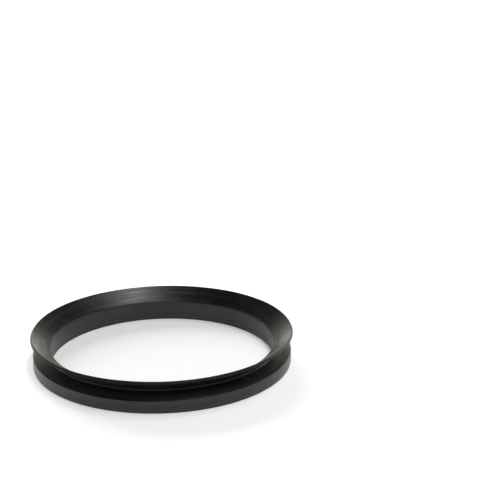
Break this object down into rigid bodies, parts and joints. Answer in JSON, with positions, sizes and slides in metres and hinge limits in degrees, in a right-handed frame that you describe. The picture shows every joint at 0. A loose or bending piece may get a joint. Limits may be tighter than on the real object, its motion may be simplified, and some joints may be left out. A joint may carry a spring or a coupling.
{
  "type": "v-ring seal",
  "caption": "Moulded rubber ring with a V-shaped section: a solid heel that grips a shaft, a groove and a flaring conical lip that seals on a flat face.",
  "frame": {"origin": "centre of the flat back face, on the bore's axis", "axes": "+Z along the bore's axis, from the back face towards the lip"},
  "size_m": [0.0892, 0.0892, 0.011],
  "materials": {
    "nitrile_rubber": "smooth moulded black rubber with a soft satin sheen"
  },
  "bodies": {
    "root": {"v_ring": "nitrile_rubber"}
  },
  "joints": []
}
